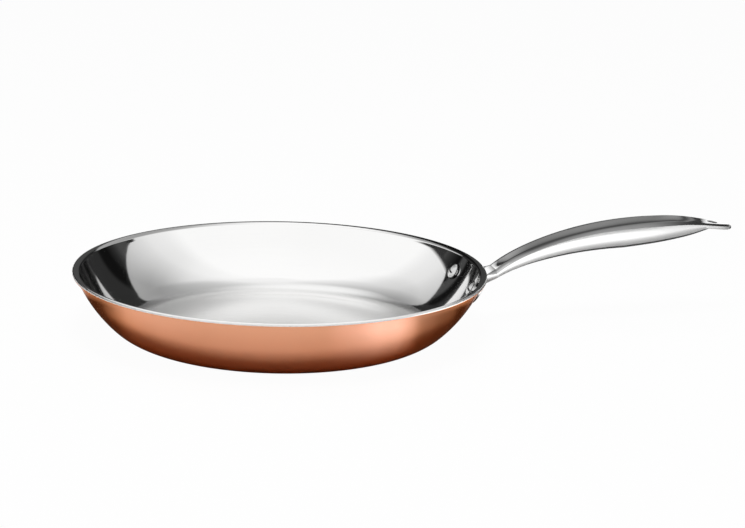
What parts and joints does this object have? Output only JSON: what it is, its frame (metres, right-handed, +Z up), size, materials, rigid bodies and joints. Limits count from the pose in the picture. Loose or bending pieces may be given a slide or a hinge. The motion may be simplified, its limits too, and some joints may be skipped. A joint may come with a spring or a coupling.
{
  "type": "frying pan",
  "caption": "Copper frying pan with a steel lining, a flared pouring lip and a long arched steel handle riveted to the wall.",
  "frame": {"origin": "centre of the flat underside of the base", "axes": "+Z up out of the pan, +X along the handle away from the body, +Y across"},
  "size_m": [0.4626, 0.28, 0.0733],
  "materials": {
    "copper": "polished copper",
    "core": "turned edge",
    "liner": "mirror-polished steel",
    "handle": "satin steel",
    "rivet": "polished steel"
  },
  "bodies": {
    "root": {"copper_shell": "copper", "aluminium_core": "core", "steel_liner": "liner", "handle_bracket": "handle", "grip_upper_shell": "handle", "grip_lower_shell": "handle", "hanging_tab": "handle", "rivets": "rivet"}
  },
  "joints": []
}
